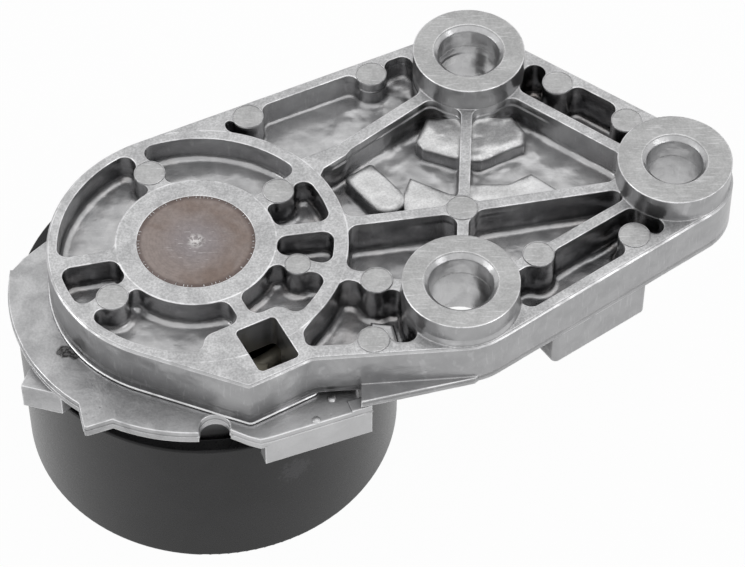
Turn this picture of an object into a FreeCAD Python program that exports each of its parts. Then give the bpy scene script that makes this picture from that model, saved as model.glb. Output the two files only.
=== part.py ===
import FreeCAD, Part
import math
import os

Vector = FreeCAD.Vector

# Lengths are in millimetres and angles in degrees.
# The model is laid out about the pivot axis, with Z = 0 in the plane of the rib tops.
# The last step moves it, so that the origin lies on the axis of the locating hole,
# in the plane where the bolt heads sit, with +Z towards the engine.

# Mounting bosses, as places from the pivot axis
far_boss = (46.5, 39.7)
end_boss = (81.1, 14.5)
near_boss = (44.3, -12.2)
boss_radius = 9.8
far_boss_foot = 9.8
end_boss_foot = 10.3
near_boss_foot = 10.6
boss_stand = 4.6
boss_foot_height = 1.5
bolt_hole_radius = 5.4
locating_hole_radius = 4.8
hole_chamfer = 0.9

# Base casting
cup_centre = (-0.1, -0.2)
cup_radius = 25.1
cup_wall = 1.8
ring_top_centre = (0.4, -0.35)
ring_top_overlap = 0.2
cup_depth = 10.0
bracket_depth = 9.0
pivot_ring_radius = 13.67
casting_draft = 0.015
far_wall = 2.0
end_wall = 2.0
near_wall = 1.9
top_bevel = 0.4
rib_thickness = 1.9
spoke_thickness = 2.2
pocket_corner = 1.9
floor_corner = 1.2
step_edge = 0.8
pad_radius = 2.7
small_pad_radius = 2.2
pad_stand = 0.15
cup_corner = (9.7, -29.6)
cup_corner_radius = 1.0
cup_shoulder = (19.4, -23.9)
knee_centre = (21.25, -28.8)
knee_radius = 4.0

# Levels of the steps cast on the pocket floors
plateau_top = -3.2
plinth_top = -2.8
left_shelf_top = -3.5
right_shelf_top = -2.5
near_step_top = -3.0

# Rectangular window in the cup, which holds the upper leg of the spring
window_centre = (12.5, -21.8)
window_length = 9.5
window_width = 7.3
window_turn = -62.0
window_corner = 0.9
window_surround_corner = 2.4

# Ledge and hanging block on the front wall
ledge_depth = 7.5
ledge_left = 27.9
ledge_reach = 28.1
ledge_end = (46.7, -23.1)
block_start = 12.5
block_width = 19.8
block_thickness = 7.0
block_depth = 16.2
block_corner = 1.0

# Stops under the bracket
stop_clearance = 1.4
stop_thickness = 3.8
stop_depth = 12.3
stop_width_angle = 7.0
stop_clear_angle = 0.4
arm_travel = 60.0

# Pivot pin and its fit
pin_head_radius = 10.0
pin_radius = 7.0
pin_end_chamfer = 0.6
centre_mark_radius = 1.3
centre_mark_depth = 0.6
running_clearance = 0.04
bush_wall = 0.96
bush_end_gap = 0.3
lower_bush_length = 11.7

# Arm casting
casting_gap = 0.3
flange_width = 6.8
flange_thickness = 2.5
flange_end_x = 27.0
cup_rim_step = 0.7
arm_cup_overlap = 0.5
arm_cup_wall = 2.0
arm_cup_floor_top = 24.5
arm_cup_floor = 2.5
arm_hub_radius = 12.0
eccentric = (0.9, 4.1)
lug_overhang = 3.36
lug_thickness = 2.4
lug_depth = 17.2
lug_normal = -69.2
lug_start = 0.6
lug_flange_end = 15.7
lug_end = 18.2
left_lug_depth = 18.0
notch_place = (3.8, -31.3)
notch_radius = 2.6
arm_stop_start = 57.5
arm_stop_end = 69.6

# Friction disc, dust ring and spring
disc_thickness = 1.6
disc_radius = 13.4
dust_ring_thickness = 0.6
wire_radius = 1.5
coil_clearance = 0.5
coil_gap = 0.35
spring_recess_top = 7.1
spring_leg_reach = 24.5
spring_leg_angle = -60.0
seat_gap = 0.1
sleeve_thickness = 1.2

# Ball bearing
bearing_bore = 15.0
bearing_section = 12.5
bearing_width = 13.0
ring_wall_share = 0.275
ball_share = 0.2856
ball_count = 11
ball_clearance = 0.03
cage_thickness_share = 0.24
cage_rim = 4.8
cage_reach = 2.2
seal_thickness = 1.0
seal_lip_gap = 0.15

# Pulley drum
drum_clearance = 0.98
drum_width = 31.05
drum_wall = 2.5
drum_edge = 0.4
drum_lip = 1.1
drum_top = 20.1
slinger_thickness = 0.6
slinger_gap = 0.5
cap_thickness = 1.2
cap_recess = 0.45

# Retaining rings and washer
hub_ring_thickness = 1.5
hub_groove_depth = 0.7
drum_ring_thickness = 2.0
drum_groove_depth = 1.5
pin_ring_thickness = 1.0
pin_groove_depth = 0.3
ring_side_gap = 0.05
ring_height = 2.6
pin_ring_height = 1.9
drum_ring_height = 3.4
ring_ear = 1.9
ring_opening_angle = 22.0
washer_thickness = 1.5
washer_radius = 12.0
axial_play = 0.1

# Radii that follow from the cup and from the bearing
ring_top_radius = cup_radius + ring_top_overlap
arm_cup_radius = cup_radius + arm_cup_overlap
flange_radius = arm_cup_radius + flange_width
lug_distance = flange_radius + lug_overhang
stop_inner = arm_cup_radius + stop_clearance
stop_outer = stop_inner + stop_thickness
sleeve_bore = arm_cup_radius - arm_cup_wall - sleeve_thickness
coil_radius = sleeve_bore - coil_clearance - wire_radius
offset = math.hypot(eccentric[0], eccentric[1])
drum_radius = arm_cup_radius + offset + drum_clearance + drum_wall
bearing_outer = bearing_bore + bearing_section
inner_ring_shoulder = bearing_bore + ring_wall_share * bearing_section
outer_ring_shoulder = bearing_outer - ring_wall_share * bearing_section
ball_pitch = (bearing_bore + bearing_outer) / 2
ball_radius = ball_share * bearing_section
cage_thickness = cage_thickness_share * bearing_section

# Levels along the pivot axis, all below the rib tops
flange_top = -(cup_depth + casting_gap)
flange_low = flange_top - flange_thickness
rim_top = flange_top - cup_rim_step
disc_low = -cup_depth - disc_thickness - 2 * seat_gap
cup_floor = -arm_cup_floor_top
cup_low = cup_floor - arm_cup_floor
drum_high = -drum_top
drum_low = drum_high - drum_width
bearing_high = (drum_high + drum_low + bearing_width) / 2
bearing_low = bearing_high - bearing_width
hub_low = bearing_low - hub_ring_thickness - 1.0
washer_high = hub_low - axial_play
washer_low = washer_high - washer_thickness
pin_ring_high = washer_low - axial_play
pin_low = pin_ring_high - pin_ring_thickness - 1.2
cap_low = drum_low + cap_recess

os.makedirs("parts", exist_ok=True)


def point_at(radius, angle):
    """Plan point at a radius and an angle about the pivot axis."""
    turn = math.radians(angle)
    return (radius * math.cos(turn), radius * math.sin(turn))


def cylinder(place, radius, low, high):
    return Part.makeCylinder(radius, high - low, Vector(place[0], place[1], low))


def cone(place, low_radius, high_radius, low, high):
    return Part.makeCone(low_radius, high_radius, high - low, Vector(place[0], place[1], low))


def tube(place, inner, outer, low, high):
    return cylinder(place, outer, low, high).cut(cylinder(place, inner, low, high))


def prism(points, low, high):
    """Upright solid on a polygon of plan points."""
    corners = [Vector(x, y, low) for x, y in points]
    face = Part.Face(Part.makePolygon(corners + corners[:1]))
    return face.extrude(Vector(0, 0, high - low))


def wall_between(start, end, thickness, low, high):
    """Straight wall with its middle plane through two plan points."""
    dx = end[0] - start[0]
    dy = end[1] - start[1]
    length = math.hypot(dx, dy)
    px = -dy / length * thickness / 2
    py = dx / length * thickness / 2
    return prism([(start[0] - px, start[1] - py), (end[0] - px, end[1] - py),
                  (end[0] + px, end[1] + py), (start[0] + px, start[1] + py)], low, high)


def sector(inner, outer, start, end, low, high):
    """Part of an upright ring between two angles."""
    ring = tube((0, 0), inner, outer, low, high)
    wedge = Part.makeCylinder(outer + 5, high - low, Vector(0, 0, low), Vector(0, 0, 1), end - start)
    wedge.rotate(Vector(0, 0, 0), Vector(0, 0, 1), start)
    return ring.common(wedge)


def belt_wire(circles, level, grow=0.0):
    """Closed outline round circles given anticlockwise as (place, radius).

    A negative radius bends the outline inward round that circle.
    """
    count = len(circles)
    normals = []
    for index in range(count):
        (x1, y1), r1 = circles[index]
        (x2, y2), r2 = circles[(index + 1) % count]
        dx = x2 - x1
        dy = y2 - y1
        length = math.hypot(dx, dy)
        lean = (r1 - r2) / length
        square = math.sqrt(1 - lean * lean)
        normals.append(((dy * square + dx * lean) / length, (-dx * square + dy * lean) / length))
    edges = []
    for index in range(count):
        (x, y), radius = circles[index]
        radius = radius + grow
        before = normals[index - 1]
        after = normals[index]
        start = math.atan2(before[1], before[0])
        end = math.atan2(after[1], after[0])
        if radius > 0 and end < start:
            end = end + 2 * math.pi
        if radius < 0 and end > start:
            end = end - 2 * math.pi
        middle = (start + end) / 2
        arc = [Vector(x + radius * math.cos(a), y + radius * math.sin(a), level) for a in (start, middle, end)]
        (xn, yn), next_radius = circles[(index + 1) % count]
        next_radius = next_radius + grow
        line_end = Vector(xn + next_radius * after[0], yn + next_radius * after[1], level)
        edges.append(Part.Arc(*arc).toShape())
        edges.append(Part.LineSegment(arc[2], line_end).toShape())
    return Part.Wire(edges)


def belt_solid(circles, low, high, draft=0.0):
    """Solid inside a belt outline, wider towards its lower end by the draft."""
    upper = belt_wire(circles, high)
    lower = belt_wire(circles, low, draft * (high - low))
    return Part.makeLoft([lower, upper], True, True)


def joined(first, others):
    return first.multiFuse(others).removeSplitter()


def upright_edges(shape, low, high):
    """Straight edges that run along Z for the whole height of a pocket."""
    chosen = []
    for edge in shape.Edges:
        box = edge.BoundBox
        if box.XLength < 1e-4 and box.YLength < 1e-4 and box.ZLength > 0.9 * (high - low):
            chosen.append(edge)
    return chosen


def filleted(shape, edges, radius):
    """Solid with the given edges rounded, or None where the radius doesn't fit."""
    if not edges:
        return None
    try:
        rounded = shape.makeFillet(radius, edges)
    except (Part.OCCError, ValueError):
        return None
    if not rounded.isValid() or len(rounded.Solids) != 1 or rounded.Volume < 0.8 * shape.Volume:
        return None
    return rounded.Solids[0]


def rounded_pocket(hollow, low, high):
    """Pocket with its corners rounded, each one as wide as its own place lets it be."""
    places = [(edge.BoundBox.XMin, edge.BoundBox.YMin) for edge in upright_edges(hollow, low, high)]
    for share in (1.0, 0.7, 0.45, 0.25):
        waiting = []
        for x, y in places:
            corner = [edge for edge in upright_edges(hollow, low, high)
                      if math.hypot(edge.BoundBox.XMin - x, edge.BoundBox.YMin - y) < 1e-3]
            rounded = filleted(hollow, corner, pocket_corner * share)
            if rounded is None:
                waiting.append((x, y))
            else:
                hollow = rounded
        places = waiting
    for share in (1.0, 0.7, 0.45):
        rims = [edge for edge in hollow.Edges if edge.BoundBox.ZMax < low + 1e-3]
        rounded = filleted(hollow, rims, floor_corner * share)
        if rounded is not None:
            return rounded
    return hollow


# Base casting

cross_pad = (44.9, 7.4)
pads = (
    (-8.5, 15.0), (13.6, 11.1), (-13.4, -12.1), (8.0, 28.1), (29.4, 38.2), (30.4, -8.4), (62.1, 36.2),
    (73.8, 27.4), cross_pad, (57.5, -2.75), (73.8, 1.4), (29.9, -20.9))
small_pad = (17.2, -5.0)
spoke_angles = (8.9, 40.5, 119.5, 192.5, 220.5, 298.5, 344.6)
bosses = (far_boss, end_boss, near_boss)
bracket_outline = (
    (cup_centre, cup_radius), (cup_corner, cup_corner_radius), (knee_centre, -knee_radius),
    (near_boss, near_boss_foot), (end_boss, end_boss_foot), (far_boss, far_boss_foot))
inner_outline = (
    (cup_centre, cup_radius - far_wall), (near_boss, near_boss_foot - near_wall),
    (end_boss, end_boss_foot - end_wall), (far_boss, far_boss_foot - far_wall))
window_surround = ((2.1, -32.0), (2.1, -20.3), (14.2, -13.7), (20.0, -17.0), (20.0, -32.0))
ring_web = ((21.9, -13.2), (18.3, -19.2), (18.8, -21.8), (20.6, -24.6), (8.0, -30.0), (8.0, -20.0))
upper_web = ((-14.0, 18.0), (3.9, 23.5), (4.3, 31.0), (-14.0, 31.0))

# Floor of each pocket, as a plan point inside the pocket and its depth below the rib tops
pocket_floors = (
    ((-20.0, 6.0), 5.6), ((2.0, 20.0), 5.0), ((19.5, 8.0), 5.6), ((20.0, -1.0), 5.6), ((18.0, -11.0), 5.6),
    ((-4.0, -19.0), 5.2), ((-19.0, -9.0), 5.6), ((18.0, 27.0), 5.2), ((33.0, 20.0), 6.6), ((62.0, 20.0), 6.2),
    ((67.0, 30.0), 7.4), ((30.0, 0.0), 7.4), ((24.0, -17.0), 7.4), ((57.0, 4.0), 6.8), ((66.0, -4.0), 7.4))


def bracket_body():
    """Solid body of the bracket, with draft and with its upper outer edge broken."""
    crown = Part.makeLoft([belt_wire(bracket_outline, -top_bevel), belt_wire(bracket_outline, 0, -top_bevel)],
                          True, True)
    flares = [cone(end_boss, end_boss_foot - top_bevel, boss_radius - 0.2, 0, boss_foot_height),
              cone(near_boss, near_boss_foot - top_bevel, boss_radius - 0.2, 0, boss_foot_height)]
    return belt_solid(bracket_outline, -bracket_depth, -top_bevel, casting_draft).fuse([crown] + flares)


def cup_foot():
    """Lowest part of the cup, which stands below the bracket's underside."""
    grown = casting_draft * (bracket_depth - top_bevel)
    outline = [(cup_centre, cup_radius + grown), (cup_corner, cup_corner_radius + grown),
               (cup_shoulder, cup_corner_radius + grown)]
    return belt_solid(outline, -cup_depth, -bracket_depth, casting_draft)


def rib_walls(low, high):
    """Ribs between the cup, the bosses and the cross pad."""
    start = point_at(cup_radius - cup_wall / 2, 40.5)
    walls = [wall_between(start, far_boss, spoke_thickness, low, high)]
    start = point_at(cup_radius - cup_wall / 2, 9.7)
    walls.append(wall_between(start, cross_pad, rib_thickness, low, high))
    walls.append(wall_between(cross_pad, end_boss, rib_thickness, low, high))
    walls.append(wall_between(near_boss, far_boss, rib_thickness, low, high))
    walls.append(wall_between(far_boss, end_boss, rib_thickness, low, high))
    walls.append(wall_between(near_boss, end_boss, rib_thickness, low, high))
    start = point_at(cup_radius - cup_wall / 2, -15.4)
    walls.append(wall_between(start, near_boss, spoke_thickness, low, high))
    return walls


def spokes(low, high):
    """Walls between the pivot ring and the cup wall."""
    walls = []
    for angle in spoke_angles:
        inner = point_at(pivot_ring_radius - 1, angle)
        outer = point_at(cup_radius - cup_wall / 2, angle)
        walls.append(wall_between(inner, outer, spoke_thickness, low, high))
    return walls


def pad_posts(low, high):
    posts = [cylinder(place, pad_radius, low, high) for place in pads]
    posts.append(cylinder(small_pad, small_pad_radius, low, high))
    return posts


def pockets():
    """All hollows of the upper side, one solid each, down to their own floors."""
    low = -bracket_depth
    high = boss_foot_height + 0.2
    outside = belt_solid(inner_outline, low, high)
    inside = cylinder(cup_centre, cup_radius - cup_wall, low, high)
    inside = inside.cut(cylinder((0, 0), pivot_ring_radius, low, high))
    inside.rotate(Vector(0, 0, 0), Vector(0, 0, 1), spoke_angles[0])
    posts = [cylinder(place, boss_radius, low, high) for place in bosses]
    webs = [prism(ring_web, low, high), prism(upper_web, low, high),
            cylinder(ring_top_centre, ring_top_radius, low, high)]
    outside = outside.cut(rib_walls(low, high) + posts + webs + pad_posts(low, high))
    surround = prism(window_surround, low, high)
    surround = surround.makeFillet(window_surround_corner, upright_edges(surround, low, high))
    inside = inside.cut(spokes(low, high) + pad_posts(low, high) + [surround])
    hollows = []
    for hollow in outside.Solids + inside.Solids:
        depth = None
        for (x, y), floor in pocket_floors:
            if hollow.isInside(Vector(x, y, low / 2), 0.01, True):
                depth = floor
        if depth is None:
            depth = cup_depth / 2
        deep = hollow.cut(Part.makeBox(200, 200, bracket_depth - depth, Vector(-80, -80, low)))
        hollows.append(rounded_pocket(deep, -depth, high))
    return hollows


def softened(step, top):
    """Cast step with the edges of its top rounded."""
    rims = [edge for edge in step.Edges if edge.BoundBox.ZMin > top - 0.01]
    return step.makeFillet(step_edge, rims)


def floor_steps():
    """Raised steps cast on the pocket floors beside the far boss and the near boss."""
    low = -bracket_depth
    plateau = belt_solid((((25.9, 16.8), 0.9), ((32.0, 12.5), 3.1), ((29.3, 19.4), 0.9)), low, plateau_top)
    plinth = prism([(37.2, 25.2), (38.4, 23.6), (43.1, 21.8), (46.0, 20.7), (48.5, 20.9), (56.1, 24.9),
                    (56.4, 27.2), (54.1, 31.0), (39.0, 30.5)], low, plinth_top)
    left_shelf = prism([(35.0, 6.8), (35.1, 14.1), (36.1, 17.5), (43.0, 13.9), (45.5, 13.6), (45.5, 7.4)],
                       low, left_shelf_top)
    right_shelf = prism([(44.6, 7.6), (44.6, 15.2), (53.0, 15.3), (57.0, 17.7), (61.7, 13.8), (63.6, 10.9)],
                        low, right_shelf_top)
    near_step = prism([(29.4, -14.6), (33.3, -15.2), (34.3, -19.6), (34.3, -23.2), (28.0, -23.2)],
                      low, near_step_top)
    root = prism([(16.7, 17.4), (17.4, 18.4), (25.4, 22.6), (27.2, 22.6), (25.1, 19.4), (21.3, 16.3),
                  (20.2, 13.2)], low, 0)
    return [softened(plateau, plateau_top), softened(plinth, plinth_top), softened(left_shelf, left_shelf_top),
            softened(right_shelf, right_shelf_top), softened(near_step, near_step_top), root]


def boss_body(place):
    """Boss, standing above the rib tops on a post of its own width."""
    return cylinder(place, boss_radius, -bracket_depth, boss_stand)


def boss_bore(place, radius):
    hole = cylinder(place, radius, -bracket_depth - 1, boss_stand + 1)
    mouth = cone(place, radius, radius + hole_chamfer, boss_stand - hole_chamfer, boss_stand)
    return hole.fuse(mouth)


def front_ledge():
    """Thin ledge at the foot of the front wall, widest beside the arm's flange."""
    return prism([(ledge_left, -20.0), (ledge_left, -ledge_reach), (ledge_end[0], ledge_end[1]),
                  (52.0, -18.0), (44.0, -14.0)], -bracket_depth, -ledge_depth)


def hanging_block():
    """Block that hangs from the front wall between the near and end bosses."""
    dx = end_boss[0] - near_boss[0]
    dy = end_boss[1] - near_boss[1]
    length = math.hypot(dx, dy)
    along = (dx / length, dy / length)
    outward = (along[1], -along[0])
    face = end_boss_foot + casting_draft * (bracket_depth - top_bevel)

    def place(distance, out):
        return (near_boss[0] + along[0] * distance + outward[0] * out,
                near_boss[1] + along[1] * distance + outward[1] * out)

    end = block_start + block_width
    inner = face - block_thickness
    circles = [(place(block_start + block_corner, face - block_corner), block_corner),
               (place(end - block_corner, face - block_corner), block_corner),
               (place(end - block_corner, inner + block_corner), block_corner),
               (place(block_start + block_corner, inner + block_corner), block_corner)]
    return belt_solid(circles, -block_depth, -bracket_depth)


def window_hole():
    """Rectangular window with rounded corners, cut through the cup."""
    half_length = window_length / 2 - window_corner
    half_width = window_width / 2 - window_corner
    turn = math.radians(window_turn)
    circles = []
    for side, end in ((-1, -1), (-1, 1), (1, 1), (1, -1)):
        along = side * half_length
        across = end * half_width
        x = window_centre[0] + along * math.cos(turn) - across * math.sin(turn)
        y = window_centre[1] + along * math.sin(turn) + across * math.cos(turn)
        circles.append(((x, y), window_corner))
    return belt_solid(circles[::-1], -cup_depth - 1, 1)


def spring_recess():
    """Room under the cup for the upper turns of the spring and for its leg."""
    ring = tube((0, 0), pivot_ring_radius + 0.6, coil_radius + wire_radius + 0.9,
                -cup_depth - 1, -spring_recess_top)
    start = point_at(coil_radius, leg_start_angle() - 6)
    end = point_at(spring_leg_reach, spring_leg_angle)
    channel = wall_between(start, end, 2 * wire_radius + 1.0, -cup_depth - 1, -spring_recess_top)
    return ring.fuse(channel)


def leg_start_angle():
    """Angle where the straight upper leg leaves the coil."""
    return spring_leg_angle - math.degrees(math.acos(coil_radius / spring_leg_reach))


def base_stops():
    """Two tabs under the bracket that end the arm's travel."""
    rest_stop = sector(stop_inner, stop_outer, arm_stop_end + stop_clear_angle,
                       arm_stop_end + stop_clear_angle + stop_width_angle, -stop_depth, -bracket_depth + 0.5)
    low_side = arm_stop_start - arm_travel - stop_clear_angle
    travel_stop = sector(stop_inner, stop_outer, low_side - stop_width_angle, low_side,
                         -stop_depth, -bracket_depth + 0.5)
    return [rest_stop, travel_stop]


def base_casting():
    body = bracket_body().fuse(cup_foot()).cut(pockets())
    additions = floor_steps() + [front_ledge(), hanging_block()] + base_stops()
    additions = additions + pad_posts(-cup_depth / 2, pad_stand)
    additions = additions + [boss_body(place) for place in bosses]
    body = body.fuse(additions)
    cuts = [boss_bore(far_boss, bolt_hole_radius), boss_bore(near_boss, bolt_hole_radius),
            boss_bore(end_boss, locating_hole_radius), window_hole(), spring_recess(),
            cylinder((0, 0), pin_head_radius, -cup_depth - 1, 1)]
    return body.cut(cuts).removeSplitter()


# Pivot pin, its rings and the friction disc

def turned(profile, place=(0, 0)):
    """Solid of revolution about a vertical axis, from points given as (radius, level)."""
    corners = [Vector(place[0] + r, place[1], z) for r, z in profile]
    face = Part.Face(Part.makePolygon(corners + corners[:1]))
    return face.revolve(Vector(place[0], place[1], 0), Vector(0, 0, 1), 360)


def pivot_pin():
    groove = pin_radius - pin_groove_depth
    ring_low = pin_ring_high - pin_ring_thickness - ring_side_gap
    profile = [
        (0, -centre_mark_depth), (centre_mark_radius, 0), (pin_head_radius, 0), (pin_head_radius, -cup_depth),
        (pin_radius, -cup_depth), (pin_radius, pin_ring_high + ring_side_gap),
        (groove, pin_ring_high + ring_side_gap), (groove, ring_low), (pin_radius, ring_low),
        (pin_radius, pin_low + pin_end_chamfer), (pin_radius - pin_end_chamfer, pin_low), (0, pin_low)]
    return turned(profile)


def friction_disc():
    return tube((0, 0), pin_radius + 0.15, disc_radius, disc_low + seat_gap, -cup_depth)


def thrust_washer():
    return tube((0, 0), pin_radius + 0.15, washer_radius, washer_low, washer_high)


def retaining_ring(place, seat, height, high, thickness, outward, turn):
    """Open spring ring with two eared ends; its ears stand outward, or inward in a bore."""
    inner = seat if outward else seat - height
    outer = seat + height if outward else seat
    ring = tube(place, inner, outer, high - thickness, high)
    half = ring_opening_angle / 2
    reach = outer + 1 if outward else inner - ring_ear
    gap = Part.makeCylinder(outer + 5, thickness, Vector(place[0], place[1], high - thickness),
                            Vector(0, 0, 1), ring_opening_angle)
    gap.rotate(Vector(place[0], place[1], 0), Vector(0, 0, 1), turn - half)
    ring = ring.cut(gap)
    ear_radius = outer - ring_ear + 1 if outward else inner + ring_ear - 1
    ears = []
    holes = []
    for side in (-1, 1):
        angle = math.radians(turn + side * (half + math.degrees(ring_ear / reach)))
        ear_place = (place[0] + ear_radius * math.cos(angle), place[1] + ear_radius * math.sin(angle))
        ears.append(cylinder(ear_place, ring_ear, high - thickness, high))
        holes.append(cylinder(ear_place, ring_ear * 0.45, high - thickness, high))
    ring = ring.fuse(ears)
    if outward:
        ring = ring.cut(cylinder(place, inner, high - thickness, high))
    else:
        ring = ring.common(cylinder(place, outer, high - thickness, high))
    return ring.cut(holes).removeSplitter()


# Torsion spring

def torsion_spring():
    """Close coil with a straight leg into the window and a short leg down into the arm."""
    top = -(spring_recess_top + seat_gap + wire_radius)
    bottom = cup_floor + seat_gap + wire_radius
    turns = (top - bottom) / (2 * wire_radius + coil_gap)
    pitch = (top - bottom) / turns
    helix = Part.makeHelix(pitch, top - bottom, coil_radius)
    start_edge = helix.Edges[0]
    start = start_edge.valueAt(start_edge.FirstParameter)
    heading = start_edge.tangentAt(start_edge.FirstParameter)
    section = Part.Wire([Part.makeCircle(wire_radius, start, heading)])
    coil = Part.Wire(helix.Edges).makePipeShell([section], True, True)
    coil.translate(Vector(0, 0, bottom))
    end_angle = 360 * turns
    coil.rotate(Vector(0, 0, 0), Vector(0, 0, 1), leg_start_angle() - end_angle)
    leg_x, leg_y = point_at(coil_radius, leg_start_angle())
    tip_x, tip_y = point_at(spring_leg_reach, spring_leg_angle)
    direction = Vector(tip_x - leg_x, tip_y - leg_y, 0)
    leg = Part.makeCylinder(wire_radius, direction.Length, Vector(leg_x, leg_y, top), direction)
    knee = Part.makeSphere(wire_radius, Vector(leg_x, leg_y, top))
    low_x, low_y = point_at(coil_radius, spring_foot_angle())
    foot = cylinder((low_x, low_y), wire_radius, cup_low + 0.4, bottom)
    heel = Part.makeSphere(wire_radius, Vector(low_x, low_y, bottom))
    return coil.multiFuse([leg, knee, foot, heel])


def spring_foot_angle():
    """Angle where the lower end of the coil turns down into the arm."""
    top = -(spring_recess_top + seat_gap + wire_radius)
    bottom = cup_floor + seat_gap + wire_radius
    return leg_start_angle() - 360 * (top - bottom) / (2 * wire_radius + coil_gap)


# Arm casting and what rides on it

def flange():
    """Visible flange of the arm, with its pointer, flared end and notch."""
    disc = cylinder((0, 0), flange_radius, flange_low, flange_top)
    keep = prism([(-40, 2.0), (-31.9, 2.0), (-30.2, 4.6), (-26.8, 8.2), (-20.0, 14.0), (0, 0),
                  (flange_end_x, -20.0), (flange_end_x, -40), (-40, -40)], flange_low, flange_top)
    body = disc.common(keep)
    pointer = prism([(-18.9, -26.2), (-17.7, -31.1), (-17.2, -31.2), (-13.0, -29.6), (-12.0, -25.0)],
                    flange_low, flange_top)
    flare = prism([(5.0, -28.0), (6.4, -31.7), (9.4, -33.1), (11.4, -33.75)]
                  + [lug_point(lug_start, 0), lug_point(lug_flange_end, 0), (flange_end_x, -20.0)],
                  flange_low, flange_top)
    notch = cylinder(notch_place, notch_radius, flange_low, flange_top)
    mouth = prism([(notch_place[0] - notch_radius, notch_place[1]), (notch_place[0] - notch_radius, -36),
                   (notch_place[0] + notch_radius, -36), (notch_place[0] + notch_radius, notch_place[1])],
                  flange_low, flange_top)
    return body.fuse([pointer, flare]).cut([notch, mouth])


def lug_point(along, inward):
    """Plan point on the right lug, by the distance along its face and inward from it."""
    turn = math.radians(lug_normal)
    normal = (math.cos(turn), math.sin(turn))
    tangent = (-normal[1], normal[0])
    out = lug_distance - inward
    return (normal[0] * out + tangent[0] * along, normal[1] * out + tangent[1] * along)


def arm_lugs():
    right = prism([lug_point(-0.6, 0), lug_point(lug_end, 0), lug_point(lug_end, lug_thickness),
                   lug_point(-0.6, lug_thickness)], -lug_depth, flange_low + 0.3)
    tail = prism([lug_point(lug_flange_end - 1, 0), lug_point(lug_end, 0), lug_point(lug_end, lug_thickness),
                  lug_point(lug_flange_end - 1, lug_thickness)], flange_low, flange_top + 0.3)
    left = prism([(-29.0, -21.0), (-22.3, -22.8), (-19.5, -20.0), (-22.0, -14.0), (-27.6, -16.8)],
                 -left_lug_depth, flange_low + 0.2)
    return [right, tail, left]


def arm_stop():
    """Hidden lug of the arm that meets the tabs under the bracket."""
    return sector(arm_cup_radius - 1, stop_outer, arm_stop_start, arm_stop_end, flange_low, flange_top)


def arm_casting():
    rim = tube((0, 0), arm_cup_radius - arm_cup_wall, arm_cup_radius, cup_low, rim_top)
    floor = cylinder((0, 0), arm_cup_radius, cup_low, cup_floor)
    hub = cylinder((0, 0), arm_hub_radius, cup_floor, disc_low)
    shoulder = cylinder(eccentric, bearing_bore + 2.5, bearing_high + slinger_thickness, cup_low)
    nose = cylinder(eccentric, bearing_bore, hub_low, bearing_high + slinger_thickness)
    plate = flange().cut(cylinder((0, 0), arm_cup_radius - 0.4, flange_low, flange_top))
    apron = tube((0, 0), arm_cup_radius - 1, arm_cup_radius + 0.6, flange_low, rim_top)
    body = rim.fuse([floor, hub, shoulder, nose, plate, apron, arm_stop()] + arm_lugs())
    step = cylinder((0, 0), arm_cup_radius - 0.15, rim_top, flange_top + 1)
    foot_place = point_at(coil_radius, spring_foot_angle())
    ring_low = bearing_low - hub_ring_thickness
    groove = tube(eccentric, bearing_bore - hub_groove_depth, bearing_bore + 1,
                  ring_low - 2 * ring_side_gap, bearing_low)
    cuts = [step, groove, cylinder((0, 0), pin_radius + running_clearance + bush_wall, hub_low - 1, 0),
            cylinder(foot_place, wire_radius + 0.2, cup_low + 0.2, cup_floor)]
    return body.cut(cuts).removeSplitter()


def pivot_bush(low, high):
    inner = pin_radius + running_clearance
    return tube((0, 0), inner, inner + bush_wall, low, high)


def spring_sleeve():
    return tube((0, 0), sleeve_bore, arm_cup_radius - arm_cup_wall, cup_floor, rim_top - 0.3)


def dust_ring():
    return tube((0, 0), arm_cup_radius - 1.6, arm_cup_radius - 0.2, rim_top, rim_top + dust_ring_thickness)


def slinger():
    return tube(eccentric, bearing_bore, outer_lip_radius() - slinger_gap, bearing_high,
                bearing_high + slinger_thickness)


# Ball bearing about the eccentric axis

def bearing_middle():
    return (bearing_high + bearing_low) / 2


def race():
    """Round groove in which the balls run."""
    groove = Part.makeTorus(ball_pitch, ball_radius + ball_clearance,
                            Vector(eccentric[0], eccentric[1], bearing_middle()))
    return groove


def bearing_inner_ring():
    ring = tube(eccentric, bearing_bore, inner_ring_shoulder, bearing_low, bearing_high)
    return ring.cut(race())


def bearing_outer_ring():
    ring = tube(eccentric, outer_ring_shoulder, bearing_outer, bearing_low, bearing_high)
    return ring.cut(race())


def ball_places():
    places = []
    for index in range(ball_count):
        x, y = point_at(ball_pitch, 360.0 * index / ball_count)
        places.append(Vector(eccentric[0] + x, eccentric[1] + y, bearing_middle()))
    return places


def bearing_balls():
    return Part.makeCompound([Part.makeSphere(ball_radius, place) for place in ball_places()])


def bearing_cage():
    """Crown cage, closed below the balls and open above them."""
    ring = tube(eccentric, ball_pitch - cage_thickness / 2, ball_pitch + cage_thickness / 2,
                bearing_middle() - cage_rim, bearing_middle() + cage_reach)
    return ring.cut([Part.makeSphere(ball_radius + 0.12, place) for place in ball_places()])


def bearing_seal(low):
    return tube(eccentric, inner_ring_shoulder + seal_lip_gap, outer_ring_shoulder, low, low + seal_thickness)


# Pulley drum about the eccentric axis

def outer_lip_radius():
    return bearing_outer - 1.6


def drum_ring_groove_low():
    return bearing_low - drum_ring_thickness - 2 * ring_side_gap


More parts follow.
